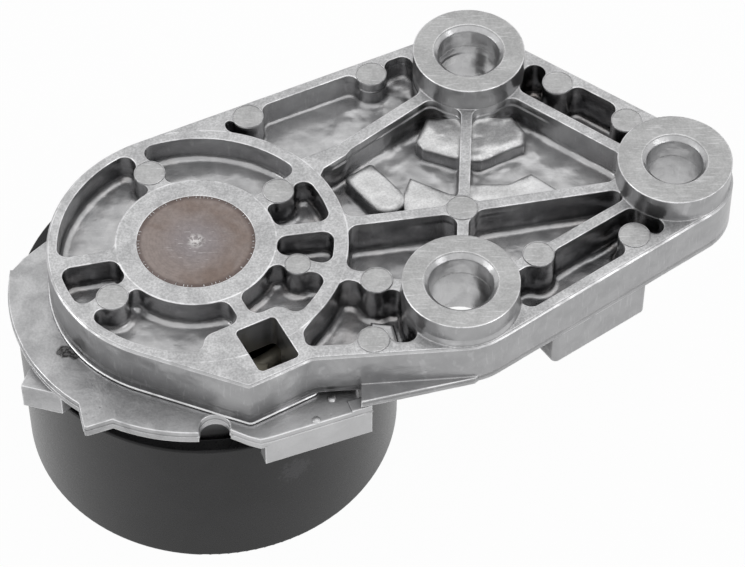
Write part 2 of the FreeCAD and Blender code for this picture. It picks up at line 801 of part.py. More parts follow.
def pulley_drum():
    recess = drum_radius - drum_wall
    lip = outer_lip_radius()
    lip_high = bearing_high + drum_lip
    groove_low = drum_ring_groove_low()
    land_low = groove_low - 1.2
    profile = [
        (drum_radius, drum_low), (drum_radius, drum_high), (recess, drum_high), (recess, lip_high),
        (lip, lip_high), (lip, bearing_high), (bearing_outer, bearing_high), (bearing_outer, bearing_low),
        (bearing_outer + drum_groove_depth, bearing_low), (bearing_outer + drum_groove_depth, groove_low),
        (bearing_outer, groove_low), (bearing_outer, land_low), (recess, land_low), (recess, drum_low)]
    drum = turned(profile, eccentric)
    rims = []
    for edge in drum.Edges:
        box = edge.BoundBox
        at_end = abs(box.ZMin - drum_low) < 1e-4 or abs(box.ZMin - drum_high) < 1e-4
        if at_end and box.ZLength < 1e-4 and abs(box.XLength - 2 * drum_radius) < 1e-3:
            rims.append(edge)
    return drum.makeFillet(drum_edge, rims)


def dust_cap():
    outer = drum_radius - drum_wall
    seat = drum_ring_groove_low() - 1.2
    face = cylinder(eccentric, outer, cap_low, cap_low + cap_thickness)
    skirt = tube(eccentric, outer - cap_thickness, outer, cap_low, seat)
    return face.fuse(skirt).removeSplitter()


def export(name, shape):
    """Writes one piece, moved from the pivot axis to the locating hole."""
    moved = shape.copy()
    moved.translate(Vector(-end_boss[0], -end_boss[1], bracket_depth))
    moved.exportStep("parts/" + name + ".step")
    print(name, len(moved.Solids), round(moved.Volume, 1), moved.isValid())


export("base_casting", base_casting())
export("pivot_pin", pivot_pin())
export("friction_disc", friction_disc())
export("torsion_spring", torsion_spring())
export("thrust_washer", thrust_washer())
export("pin_retaining_ring", retaining_ring((0, 0), pin_radius - pin_groove_depth, pin_ring_height, pin_ring_high,
                                            pin_ring_thickness, True, 90))
export("arm_casting", arm_casting())
export("upper_bush", pivot_bush(cup_floor, disc_low - bush_end_gap))
export("lower_bush", pivot_bush(hub_low + bush_end_gap, hub_low + bush_end_gap + lower_bush_length))
export("spring_sleeve", spring_sleeve())
export("dust_ring", dust_ring())
export("slinger", slinger())
export("bearing_inner_ring", bearing_inner_ring())
export("bearing_outer_ring", bearing_outer_ring())
export("bearing_balls", bearing_balls())
export("bearing_cage", bearing_cage())
export("upper_seal", bearing_seal(bearing_high - seal_thickness - 0.2))
export("lower_seal", bearing_seal(bearing_low + 0.2))
export("hub_retaining_ring", retaining_ring(eccentric, bearing_bore - hub_groove_depth, ring_height,
                                            bearing_low - ring_side_gap, hub_ring_thickness, True, 90))
export("drum_retaining_ring", retaining_ring(eccentric, bearing_outer + drum_groove_depth - 0.1, drum_ring_height,
                                             bearing_low - ring_side_gap, drum_ring_thickness, False, 90))
export("pulley_drum", pulley_drum())
export("dust_cap", dust_cap())
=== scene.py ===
# %% [markdown]
# # Dressing a belt tensioner
#
# The object is an automatic belt tensioner, seen from its engine side: a die-cast aluminium bracket
# with three bolt bosses, a sprung arm under it and a smooth black idler drum.
# The exact solids come ready made from a CAD model. This lesson adds what a solid model lacks:
# the grain of the casting, painted highlights on the edges, painted shade in the pockets, the turned face of
# the pin, and the small raised marks that the die and the press leave behind.
#
# Everything is in metres. The origin is on the axis of the locating hole, and +Z points at the engine.

import bmesh
import bpy
import math
from mathutils import Matrix, Vector


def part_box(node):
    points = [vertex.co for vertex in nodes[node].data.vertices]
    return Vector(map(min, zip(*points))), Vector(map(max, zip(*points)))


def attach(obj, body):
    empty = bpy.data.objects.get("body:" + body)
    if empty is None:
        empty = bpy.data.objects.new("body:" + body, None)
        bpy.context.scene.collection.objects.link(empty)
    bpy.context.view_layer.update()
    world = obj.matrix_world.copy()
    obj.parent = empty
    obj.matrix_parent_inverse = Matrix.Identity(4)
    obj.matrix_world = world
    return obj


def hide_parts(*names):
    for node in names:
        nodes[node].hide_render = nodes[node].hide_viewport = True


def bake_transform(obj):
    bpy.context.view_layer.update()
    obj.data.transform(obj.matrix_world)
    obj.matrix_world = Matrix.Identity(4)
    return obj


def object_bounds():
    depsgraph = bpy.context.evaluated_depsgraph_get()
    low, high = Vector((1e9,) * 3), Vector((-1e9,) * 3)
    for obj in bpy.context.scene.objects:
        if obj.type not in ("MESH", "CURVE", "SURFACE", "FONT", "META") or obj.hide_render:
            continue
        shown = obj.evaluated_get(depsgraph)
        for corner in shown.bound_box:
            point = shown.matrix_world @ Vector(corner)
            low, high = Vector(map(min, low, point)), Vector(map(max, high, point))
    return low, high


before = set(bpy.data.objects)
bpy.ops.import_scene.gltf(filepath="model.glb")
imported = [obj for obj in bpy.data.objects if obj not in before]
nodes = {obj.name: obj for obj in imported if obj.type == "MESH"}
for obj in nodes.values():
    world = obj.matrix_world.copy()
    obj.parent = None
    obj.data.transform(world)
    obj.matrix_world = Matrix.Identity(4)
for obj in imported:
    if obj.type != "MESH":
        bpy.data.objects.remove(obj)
cad_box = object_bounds()
print("solids:", len(nodes))
print("box in mm:", [[round(value * 1000, 1) for value in corner] for corner in cad_box])

# %% [markdown]
# ## Places that several cells share
#
# Most places can be read from the solids' own boxes, which is safer than typing them twice.
# The pivot axis and four levels are measured here once. The pads, the bosses and a few other places of the
# casting have no box of their own, so they are listed on plan, in millimetres from the pivot axis.

# %% Measure the axis and the levels, and list the pads
mm = 0.001
low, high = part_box("friction_disc")
pivot = (low + high) / 2
flange_level = high.z - 0.3 * mm
rib_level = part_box("pivot_pin")[1].z
pad_level = rib_level + 0.15 * mm
boss_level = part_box("base_casting")[1].z

# Place and radius of each ejector pad
pads = [
    (-8.5, 15.0, 2.7), (13.6, 11.1, 2.7), (-13.4, -12.1, 2.7), (17.2, -5.0, 2.2), (8.0, 28.1, 2.7),
    (29.4, 38.2, 2.7), (30.4, -8.4, 2.7), (62.1, 36.2, 2.7), (73.8, 27.4, 2.7), (44.9, 7.4, 2.7),
    (57.5, -2.75, 2.7), (73.8, 1.4, 2.7), (29.9, -20.9, 2.7)]
bosses = [(46.5, 39.7), (81.1, 14.5), (44.3, -12.2)]
window_place = (12.5, -21.8)
cup_rim_place = (0.4, -0.35)


def from_pivot(x, y, z):
    """Point at plan millimetres from the pivot axis, at a height in metres."""
    return Vector((pivot.x + x * mm, pivot.y + y * mm, z))


print("pivot in mm:", [round(value / mm, 2) for value in pivot])

# %% [markdown]
# ## The camera
#
# The photograph looks down at the part at 51 degrees with a long lens, so parallel edges stay almost parallel.
# A long lens far away keeps the same proportions: the lens length comes from the picture's width in pixels
# and the distance at which the outlines of the casting and the drum both fall on the photograph.

# %% Place the camera
looking_down = 51.13
leaning = 0.11
stands_at = (-0.0514, -0.3427, 0.4049)

camera_data = bpy.data.cameras.new("camera")
camera_data.sensor_width = 36
camera_data.lens = 147.77
camera_data.clip_start = 0.01
camera = bpy.data.objects.new("camera", camera_data)
bpy.context.scene.collection.objects.link(camera)
tilt = Matrix.Rotation(math.radians(90 - looking_down), 3, "X")
roll = Matrix.Rotation(math.radians(leaning), 3, "Z")
camera.matrix_world = Matrix.Translation(stands_at) @ (tilt @ roll).to_4x4()
bpy.context.scene.camera = camera
print("camera stands", round(camera.location.length, 3), "m from the locating hole")

# %% [markdown]
# ## Small helpers for node trees
#
# A material is a tree of nodes. Written out link by link, a tree is long and hard to read, so each kind of
# step used here gets a function that adds its node and hands back the output.

# %% Helpers that add nodes


def add(tree, kind, values=None, **settings):
    """Add a node, set its properties, and give each named socket a value or a link."""
    made = tree.nodes.new(kind)
    for name, value in settings.items():
        setattr(made, name, value)
    for socket, value in (values or {}).items():
        if isinstance(value, bpy.types.NodeSocket):
            tree.links.new(value, made.inputs[socket])
        else:
            made.inputs[socket].default_value = value
    return made


def shade(tree, value, low, high, out_low, out_high):
    """Map a range of values smoothly to another."""
    made = add(tree, "ShaderNodeMapRange", {"Value": value, "From Min": low, "From Max": high,
                                            "To Min": out_low, "To Max": out_high},
               interpolation_type="SMOOTHSTEP")
    return made.outputs["Result"]


def maths(tree, operation, a, b=0.0):
    """One arithmetic step."""
    return add(tree, "ShaderNodeMath", {0: a, 1: b}, operation=operation).outputs[0]


def product(tree, *factors):
    """Several masks multiplied together."""
    result = factors[0]
    for factor in factors[1:]:
        result = maths(tree, "MULTIPLY", result, factor)
    return result


def strongest(tree, a, b):
    """Wherever either of two masks is."""
    return maths(tree, "MAXIMUM", a, b)


def without(tree, mask, hidden):
    """A mask where another mask is not."""
    return product(tree, mask, maths(tree, "SUBTRACT", 1.0, hidden))


def blend_colours(tree, factor, a, b, blend="MIX"):
    """Mix two colours by a factor."""
    made = add(tree, "ShaderNodeMix", {0: factor, 6: a, 7: b}, data_type="RGBA", blend_type=blend)
    return made.outputs[2]


def blend_values(tree, factor, a, b):
    """Mix two numbers by a factor."""
    return add(tree, "ShaderNodeMix", {0: factor, 2: a, 3: b}, data_type="FLOAT").outputs[0]


def object_place(tree):
    """Object coordinates, which stay with a piece when it moves."""
    return add(tree, "ShaderNodeTexCoord").outputs["Object"]


def vector_step(tree, operation, a, b):
    """One step with two vectors; the result is a vector or, for a distance, a number."""
    made = add(tree, "ShaderNodeVectorMath", {0: a, 1: b}, operation=operation)
    return made.outputs["Value" if operation in ("DISTANCE", "DOT_PRODUCT") else "Vector"]


def noise(tree, place, scale, detail, **more):
    """Noise between 0 and 1, with any other sockets given by name."""
    return add(tree, "ShaderNodeTexNoise", {"Vector": place, "Scale": scale, "Detail": detail, **more}).outputs["Fac"]


def colour(red, green, blue):
    """Colour as a socket takes it, fully opaque."""
    return (red, green, blue, 1.0)


def grey(level, cool=0.005):
    """Grey of bare aluminium, a touch cooler than neutral."""
    return (level, level, level + cool, 1.0)


print("helpers ready")

# %% [markdown]
# ## The studio
#
# Bare metal shows its surroundings more than its own colour, so the room matters as much as the material.
# A big soft lamp above makes the cast tops even and pale. A smaller one behind stands where the tops mirror it
# towards the camera, and gives them a gleam. Two panels low at the sides draw the long pale bands on the drum.
# The room is white where the camera or a reflection looks at it, and half as bright where it only gives light,
# which keeps the metal from washing out.

# %% Light the room
scene = bpy.context.scene
scene.view_settings.view_transform = "Standard"

world = bpy.data.worlds.new("studio")
world.use_nodes = True
scene.world = world
sky = world.node_tree
sky.nodes.clear()


def looked_at(tree):
    """One for rays from the camera and for reflected or refracted rays, zero for light."""
    ray = add(tree, "ShaderNodeLightPath").outputs
    bent = strongest(tree, ray["Is Glossy Ray"], ray["Is Transmission Ray"])
    return strongest(tree, ray["Is Camera Ray"], bent)


room = add(sky, "ShaderNodeBackground", {"Color": colour(0.98, 0.99, 1.0), "Strength": 0.5})
white = add(sky, "ShaderNodeBackground", {"Color": colour(1.0, 1.0, 1.0), "Strength": 1.0})
seen = add(sky, "ShaderNodeMixShader", {0: looked_at(sky), 1: room.outputs[0], 2: white.outputs[0]})
add(sky, "ShaderNodeOutputWorld", {"Surface": seen.outputs[0]})


def softbox(name, place, target, width, depth, brightness):
    """Rectangular area lamp aimed at a point; brightness 1 looks as bright as white paper."""
    lamp_data = bpy.data.lights.new(name, "AREA")
    lamp_data.shape = "RECTANGLE"
    lamp_data.size = width
    lamp_data.size_y = depth
    lamp_data.energy = math.pi * width * depth * brightness
    lamp = bpy.data.objects.new(name, lamp_data)
    lamp.location = place
    lamp.rotation_euler = (Vector(target) - Vector(place)).to_track_quat("-Z", "Y").to_euler()
    scene.collection.objects.link(lamp)


bracket_middle = (-0.05, 0, 0)
drum_middle = (-0.08, -0.01, -0.02)
softbox("lamp_above", (0.08, 0.12, 0.70), bracket_middle, 0.5, 0.5, 0.5)
softbox("lamp_key", (-0.25, 0.36, 0.50), bracket_middle, 0.25, 0.25, 0.3)
softbox("lamp_left", (-0.60, -0.10, 0.10), drum_middle, 0.25, 0.3, 3.0)
softbox("lamp_right", (0.42, -0.32, 0.16), drum_middle, 0.22, 0.3, 2.4)

# %% [markdown]
# ## The floor
#
# The part rests on its drum, on a plain pale table. A catalogue picture has the table whitened until only a
# trace of shadow is left. Mixing mostly plain white into a matt floor, for the rays that look at it, does that
# without pouring more light on the object. From below, the table is clear, so the underside can be looked at.

# %% Lay the floor
reach = 3.0
level = cad_box[0][2]
corners = [(-reach, -reach, level), (reach, -reach, level), (reach, reach, level), (-reach, reach, level)]
floor_mesh = bpy.data.meshes.new("floor")
floor_mesh.from_pydata(corners, [], [(0, 1, 2, 3)])
floor = bpy.data.objects.new("floor", floor_mesh)
scene.collection.objects.link(floor)

whitened = 0.97
floor_paint = bpy.data.materials.new("floor_paint")
floor_paint.use_nodes = True
tree = floor_paint.node_tree
tree.nodes.clear()
matt = add(tree, "ShaderNodeBsdfDiffuse", {"Color": colour(0.86, 0.86, 0.86)})
glow = add(tree, "ShaderNodeEmission", {"Color": colour(1.0, 1.0, 1.0), "Strength": 1.0})
share = product(tree, looked_at(tree), whitened)
mixed = add(tree, "ShaderNodeMixShader", {0: share, 1: matt.outputs[0], 2: glow.outputs[0]})
clear = add(tree, "ShaderNodeBsdfTransparent")
from_below = add(tree, "ShaderNodeNewGeometry").outputs["Backfacing"]
one_sided = add(tree, "ShaderNodeMixShader", {0: from_below, 1: mixed.outputs[0], 2: clear.outputs[0]})
add(tree, "ShaderNodeOutputMaterial", {"Surface": one_sided.outputs[0]})
floor_mesh.materials.append(floor_paint)
print("floor at", round(level / mm, 2), "mm")

# %% [markdown]
# ## Effects that several finishes share
#
# Cast grain, bright edges, dark hollows and turning marks appear on more than one metal. Each is a node
# group: a small machine with named inputs, built once and placed in every material that needs it.

# %% A helper that starts a node group
FLOAT = "NodeSocketFloat"
VECTOR = "NodeSocketVector"


def shader_group(name, inputs, outputs):
    """New shader node group with named sockets; returns the tree and its input and output nodes."""
    made = bpy.data.node_groups.new(name, "ShaderNodeTree")
    for label, kind, value in inputs:
        made.interface.new_socket(label, in_out="INPUT", socket_type=kind).default_value = value
    for label, kind in outputs:
        made.interface.new_socket(label, in_out="OUTPUT", socket_type=kind)
    return made, made.nodes.new("NodeGroupInput"), made.nodes.new("NodeGroupOutput")


print("group helper ready")

# %% [markdown]
# ### Cast grain
#
# Molten aluminium freezes against the die with a fine pebbled skin, blurred patches where the flow met
# and a few pinholes. Three textures do this: a noise for flecks of 0.4 mm, a noise for patches of 4 mm, and
# a Voronoi texture whose cell centres become the pinholes.

# %% Build the cast grain group
grain, given, result = shader_group(
    "cast_grain",
    [("Fleck Scale", FLOAT, 2600.0), ("Patch Scale", FLOAT, 260.0),
     ("Grit", FLOAT, 0.3), ("Waves", FLOAT, 1.0), ("Pinholes", FLOAT, 0.5)],
    [("Height", FLOAT), ("Fleck", FLOAT), ("Patch", FLOAT)])
place = object_place(grain)
fleck = noise(grain, place, given.outputs["Fleck Scale"], 3.0, Roughness=0.65)
patch = noise(grain, place, given.outputs["Patch Scale"], 4.0, Roughness=0.6, Distortion=0.4)
cells = add(grain, "ShaderNodeTexVoronoi", {"Vector": place, "Scale": 480.0, "Randomness": 1.0},
            feature="F1").outputs["Distance"]
holes = product(grain, shade(grain, cells, 0.06, 0.16, 1.0, 0.0), given.outputs["Pinholes"])
relief = maths(grain, "ADD", product(grain, fleck, given.outputs["Grit"]),
               product(grain, patch, given.outputs["Waves"]))
grain.links.new(maths(grain, "SUBTRACT", relief, holes), result.inputs["Height"])
grain.links.new(fleck, result.inputs["Fleck"])
grain.links.new(patch, result.inputs["Patch"])
print("cast_grain has", len(grain.nodes), "nodes")

# %% [markdown]
# ### Rounded edges and painted edge highlights
#
# The edges are painted bright, as a painted highlight. Cycles' Bevel node looks a little way around each
# point and returns the normal that a rounded edge would have. Where that differs from the true normal
# there is an edge, and the same rounded normal catches the light. Inner corners differ too, but stay dull on
# a real casting, so the mask keeps only points that still see nearly all of their own sky.

# %% Build the edge group
edges, given, result = shader_group("worn_edges", [("Width", FLOAT, 0.45 * mm)], [("Edge", FLOAT), ("Normal", VECTOR)])
rounded = add(edges, "ShaderNodeBevel", {"Radius": given.outputs["Width"]}, samples=8).outputs["Normal"]
true = add(edges, "ShaderNodeNewGeometry").outputs["Normal"]
agree = vector_step(edges, "DOT_PRODUCT", rounded, true)
around = add(edges, "ShaderNodeAmbientOcclusion", {"Distance": 0.9 * mm}, samples=6).outputs["AO"]
outer = shade(edges, around, 0.82, 0.97, 0.0, 1.0)
# The Edge mask marks where a highlight is painted into the colour.
edges.links.new(product(edges, shade(edges, agree, 0.88, 0.995, 1.0, 0.0), outer), result.inputs["Edge"])
edges.links.new(rounded, result.inputs["Normal"])
print("worn_edges has", len(edges.nodes), "nodes")

# %% [markdown]
# ### Painted shade in the hollows
#
# The pockets between the ribs are painted darker as painted shade, darkest in their corners. The Ambient
# Occlusion node measures how much of the sky a point can see within a given reach, which is just what
# decides where this painted shade goes.

# %% Build the hollow group
hollow_shade, given, result = shader_group(
    "dark_hollow", [("Reach", FLOAT, 14 * mm), ("Shut", FLOAT, 0.3), ("Open", FLOAT, 0.9)], [("Hollow", FLOAT)])
# Painted shade: the less sky a point sees within the reach, the more it is darkened.
sky_seen = add(hollow_shade, "ShaderNodeAmbientOcclusion", {"Distance": given.outputs["Reach"]}, samples=8).outputs["AO"]
held = shade(hollow_shade, sky_seen, given.outputs["Shut"], given.outputs["Open"], 1.0, 0.0)
hollow_shade.links.new(held, result.inputs["Hollow"])
print("dark_hollow has", len(hollow_shade.nodes), "nodes")

# %% [markdown]
# ### Turning marks
#
# A lathe leaves fine rings about the axis it turned on. The distance from that axis, through a sine, gives
# even rings, and a little noise on the distance keeps them from looking printed.

# %% Build the turning group
turning, given, result = shader_group(
    "turning_marks", [("Centre", VECTOR, (0.0, 0.0, 0.0)), ("Rings per Metre", FLOAT, 3000.0)],
    [("Height", FLOAT), ("Radius", FLOAT)])
place = object_place(turning)
offset = vector_step(turning, "SUBTRACT", place, given.outputs["Centre"])
flat = vector_step(turning, "MULTIPLY", offset, (1.0, 1.0, 0.0))
radius = add(turning, "ShaderNodeVectorMath", {0: flat}, operation="LENGTH").outputs["Value"]
wobble = product(turning, noise(turning, place, 900.0, 1.0), 0.35)
phase = maths(turning, "ADD", product(turning, radius, given.outputs["Rings per Metre"]), wobble)
wave = maths(turning, "SINE", product(turning, phase, 2 * math.pi))
turning.links.new(wave, result.inputs["Height"])
turning.links.new(radius, result.inputs["Radius"])
print("turning_marks has", len(turning.nodes), "nodes")

# %% [markdown]
# ### Fine scratches
#
# Handling leaves hairlines that run mostly one way. A noise stretched by a Mapping node gives long thin
# grains, and only its highest parts are kept.

# %% Build the scratch group
scratches, given, result = shader_group(
    "fine_scratches",
    [("Stretch", VECTOR, (300.0, 4000.0, 300.0)), ("Turn", VECTOR, (0.0, 0.0, 0.0)), ("Amount", FLOAT, 0.5)],
    [("Mask", FLOAT)])
drawn = add(scratches, "ShaderNodeMapping", {"Vector": object_place(scratches), "Rotation": given.outputs["Turn"],
                                             "Scale": given.outputs["Stretch"]}).outputs[0]
lines = noise(scratches, drawn, 1.0, 2.0, Distortion=0.3)
cut = maths(scratches, "SUBTRACT", 0.75, product(scratches, given.outputs["Amount"], 0.2))
kept = maths(scratches, "DIVIDE", maths(scratches, "SUBTRACT", lines, cut), 0.08)
scratches.links.new(add(scratches, "ShaderNodeClamp", {"Value": kept}).outputs[0], result.inputs["Mask"])
print("fine_scratches has", len(scratches.nodes), "nodes")

# %% [markdown]
# ### Rough-edged spots
#
# A splash of dirt or a scuff is a soft circle whose edge noise has broken up.

# %% Build the spot group
spot, given, result = shader_group(
    "ragged_spot", [("Centre", VECTOR, (0.0, 0.0, 0.0)), ("Radius", FLOAT, 2 * mm), ("Raggedness", FLOAT, 0.8)],
    [("Mask", FLOAT)])
place = object_place(spot)
share = maths(spot, "DIVIDE", vector_step(spot, "DISTANCE", place, given.outputs["Centre"]), given.outputs["Radius"])
swing = maths(spot, "SUBTRACT", noise(spot, place, 1500.0, 4.0), 0.5)
broken = maths(spot, "ADD", share, product(spot, swing, given.outputs["Raggedness"], 2.0))
spot.links.new(shade(spot, broken, 0.75, 1.1, 1.0, 0.0), result.inputs["Mask"])
print("ragged_spot has", len(spot.nodes), "nodes")

# %% [markdown]
# ### Surfaces at one level
#
# The rib tops, the ejector pads and the machined bosses each lie at a height of their own, to a tenth of a
# millimetre. So height alone, from the Z of the Object coordinates, tells which of them a point belongs to.

# %% Build the level group


def height_in(tree):
    """Height of the shaded point, before the piece moves."""
    return add(tree, "ShaderNodeSeparateXYZ", {"Vector": object_place(tree)}).outputs["Z"]


at_level, given, result = shader_group("at_level", [("Level", FLOAT, 0.0), ("Thickness", FLOAT, 0.08 * mm)],
                                       [("Mask", FLOAT)])
off = maths(at_level, "ABSOLUTE", maths(at_level, "SUBTRACT", height_in(at_level), given.outputs["Level"]))
near = maths(at_level, "DIVIDE", off, given.outputs["Thickness"])
at_level.links.new(shade(at_level, near, 0.6, 1.0, 1.0, 0.0), result.inputs["Mask"])
print("at_level has", len(at_level.nodes), "nodes")

# %% [markdown]
# ### Upright walls
#
# The upright walls are painted darker than the tops, as painted shade.
# The Normal output of Texture Coordinate is the surface's own direction, so its Z is near zero on a wall.

# %% Build the wall group
walls, given, result = shader_group("upright_walls", [("Softness", FLOAT, 0.5)], [("Mask", FLOAT)])
facing = add(walls, "ShaderNodeTexCoord").outputs["Normal"]
upward = add(walls, "ShaderNodeSeparateXYZ", {"Vector": facing}).outputs["Z"]
lean = maths(walls, "DIVIDE", maths(walls, "ABSOLUTE", upward), given.outputs["Softness"])
walls.links.new(shade(walls, lean, 0.2, 1.0, 1.0, 0.0), result.inputs["Mask"])
print("upright_walls has", len(walls.nodes), "nodes")

# %% [markdown]
# ## The cast aluminium
#
# One metal, four looks: pale and speckled on the rib tops and the flange, smooth on the ejector pads and the
# machined bosses, painted dark as shade and glossier in the pockets, and painted bright along every edge as a
# highlight. The groups give the masks, and the colours are mixed from them. Roughness follows the same masks,
# so the dark floors shine softly.

# %% Helpers for materials


def finish_of(name, metallic, roughness):
    """New material with one Principled shader; returns the material, its tree and the shader."""
    made = bpy.data.materials.new(name)
    made.use_nodes = True
    made.node_tree.nodes.clear()
    shader = add(made.node_tree, "ShaderNodeBsdfPrincipled", {"Metallic": metallic, "Roughness": roughness})
    add(made.node_tree, "ShaderNodeOutputMaterial", {"Surface": shader.outputs[0]})
    return made, made.node_tree, shader


def effect(tree, group, **values):
    """Place a node group in a material; underscores in the names stand for spaces."""
    made = tree.nodes.new("ShaderNodeGroup")
    made.node_tree = group
    for name, value in values.items():
        socket = made.inputs[name.replace("_", " ")]
        if isinstance(value, bpy.types.NodeSocket):
            tree.links.new(value, socket)
        else:
            socket.default_value = value
    return made.outputs


def relief_of(tree, shader, height, distance, strength, normal):
    """Drive the shader's normal with a bump on top of a rounded normal."""
    bump = add(tree, "ShaderNodeBump", {"Height": height, "Distance": distance, "Strength": strength, "Normal": normal})
    tree.links.new(bump.outputs[0], shader.inputs["Normal"])


def plan_distance(tree, x, y):
    """Distance on plan from a point given in millimetres from the pivot axis."""
    flat = vector_step(tree, "MULTIPLY", object_place(tree), (1.0, 1.0, 0.0))
    return vector_step(tree, "DISTANCE", flat, tuple(from_pivot(x, y, 0.0)))


def within(tree, distance, full, gone, share=1.0):
    """Mask that is a share up to one distance and fades to nothing at another, both in millimetres."""
    return shade(tree, distance, full * mm, gone * mm, share, 0.0)


print("material helpers ready")

# %% [markdown]
# ### Where each look goes on the bracket
#
# Heights pick out the rib tops, the pads and the boss faces. Distances on plan pick out the bores and the
# window, which get no painted shade. The steps in the two middle pockets were cast with wide soft
# edges, so there the Bevel node looks further, and less painted shade lies on their shelves.

# %% Mask the bracket
bracket_finish, tree, shader = finish_of("bracket_finish", 0.9, 0.4)
grains = effect(tree, grain, Fleck_Scale=2700.0, Grit=0.12, Waves=0.8, Pinholes=0.12)
height = height_in(tree)
soft_steps = product(tree, within(tree, plan_distance(tree, 41.0, 25.0), 17, 22),
                     shade(tree, height, rib_level - 2.2 * mm, rib_level - 1.4 * mm, 1.0, 0.0))
rounded_edges = effect(tree, edges, Width=blend_values(tree, soft_steps, 0.45 * mm, 1.5 * mm))
tops = effect(tree, at_level, Level=rib_level, Thickness=0.12 * mm)["Mask"]
pad_faces = effect(tree, at_level, Level=pad_level, Thickness=0.05 * mm)["Mask"]
boss_faces = effect(tree, at_level, Level=boss_level, Thickness=0.2 * mm)["Mask"]
smooth = strongest(tree, pad_faces, boss_faces)

from_bosses = [plan_distance(tree, x, y) for x, y in bosses]
bore = maths(tree, "MINIMUM", maths(tree, "MINIMUM", from_bosses[0], from_bosses[1]), from_bosses[2])
from_window = plan_distance(tree, *window_place)
unshaded_holes = strongest(tree, within(tree, bore, 6.1, 6.6), within(tree, from_window, 6.2, 7.2, 0.9))
wall = without(tree, effect(tree, walls, Softness=0.6)["Mask"], unshaded_holes)
shelves = product(tree, without(tree, soft_steps, wall), shade(tree, height, 4.9 * mm, 5.2 * mm, 0.0, 1.0))
# Painted shade in the hollows, kept out of the bores and the window and thinned on the middle shelves.
shaded_hollows = without(tree, effect(tree, hollow_shade, Reach=12 * mm, Shut=0.0, Open=0.68)["Hollow"], unshaded_holes)
shaded_hollows = without(tree, shaded_hollows, strongest(tree, product(tree, soft_steps, 0.4), product(tree, shelves, 0.8)))
print("bracket masks:", len(tree.nodes), "nodes")

# %% [markdown]
# ### The two rings of the cup
#
# The cup's top and the ring that holds the pin were faced by machine and stand a hair proud. Each has a
# fine bright line along its edge, painted as a highlight, broken where the patches of the casting are low.

# %% Mask the rings
edges_at = [(plan_distance(tree, *cup_rim_place), 25.28), (plan_distance(tree, 0.0, 0.0), 13.52)]
raised = strongest(tree, within(tree, edges_at[0][0], 25.25, 25.4, 0.7), within(tree, edges_at[1][0], 13.45, 13.65))
# Painted highlight: a bright line along the edge of each ring.
lines = [within(tree, maths(tree, "ABSOLUTE", maths(tree, "SUBTRACT", distance, radius * mm)), 0.06, 0.2)
         for distance, radius in edges_at]
ring_edge_glints = product(tree, strongest(tree, *lines), tops, shade(tree, grains["Patch"], 0.42, 0.58, 0.15, 0.8))
print("with the rings:", len(tree.nodes), "nodes")

# %% [markdown]
# ### Colours of the bracket's bare metal
#
# The bare tops are pale with a fine speckle. Walls are painted darker as painted shade, apart from the upper
# walls of the window, which are painted pale as painted light, and the cup's wall is painted darker towards its
# foot as painted shade. The shelves in the middle pockets carry a brighter speckle, a painted highlight.

# %% Colour the bare metal
skin = blend_colours(tree, shade(tree, grains["Patch"], 0.35, 0.65, 0.0, 1.0), grey(0.42), grey(0.53))
speckle_share = blend_values(tree, tops, 0.12, 0.85)
speckle = blend_values(tree, speckle_share, 1.0, shade(tree, grains["Fleck"], 0.34, 0.66, 0.8, 1.2))
skin = blend_colours(tree, 1.0, skin, speckle, "MULTIPLY")
milled = maths(tree, "ADD", shade(tree, grains["Patch"], 0.4, 0.62, 0.18, 0.25),
               shade(tree, grains["Fleck"], 0.4, 0.62, 0.18, 0.24))
skin = blend_colours(tree, smooth, skin, milled)
# Painted shade: upright walls darker than the tops.
skin = blend_colours(tree, product(tree, wall, 0.6), skin, grey(0.29))

# Painted shade: the cup's wall darker towards its foot.
cup_foot_shade = product(tree, wall, within(tree, plan_distance(tree, 0.0, -5.0), 29, 36),
                   shade(tree, height, flange_level, flange_level + 7 * mm, 0.95, 0.0),
                   shade(tree, grains["Patch"], 0.3, 0.5, 0.7, 1.0))
skin = blend_colours(tree, cup_foot_shade, skin, grey(0.08, 0.002))
# Painted light: the upper walls of the window paler.
window_painted_light = product(tree, within(tree, from_window, 4.8, 5.2),
                    shade(tree, height, rib_level - 1.0 * mm, rib_level - 0.5 * mm, 1.0, 0.0))
skin = blend_colours(tree, window_painted_light, skin, grey(0.62, 0.0))
# Painted highlight: a brighter speckle on the middle shelves.
shelf_highlight = shade(tree, grains["Fleck"], 0.4, 0.6, 0.57, 0.72)
skin = blend_colours(tree, product(tree, shelves, 0.75), skin, shelf_highlight)
print("bare metal:", len(tree.nodes), "nodes")

# %% [markdown]
# ### Painted shade, hairlines and painted edge highlights
#
# The painted shade in the pockets has a faint brown tint in patches, and is darker on the walls. The painted
# highlights on the edges and the rings, and the hairlines, are laid over everything as nearly white metal, and the
# edge highlights are stronger in some patches.

# %% Colour the painted shade, the hairlines and the painted highlights
# Painted shade: the darkened tone of the hollows, browner in patches and darker on the walls.
hollow_shade_tone = blend_colours(tree, shade(tree, grains["Patch"], 0.4, 0.7, 0.0, 1.0),
                          grey(0.25), colour(0.22, 0.195, 0.185))
hollow_shade_tone = blend_colours(tree, wall, hollow_shade_tone, grey(0.13))
shaded_skin = blend_colours(tree, shaded_hollows, skin, hollow_shade_tone)
hairlines = effect(tree, scratches, Stretch=(350.0, 5000.0, 350.0), Turn=(0.0, 0.0, 0.5), Amount=0.75)["Mask"]
hairlines = product(tree, hairlines, blend_values(tree, smooth, 0.1, 0.3))
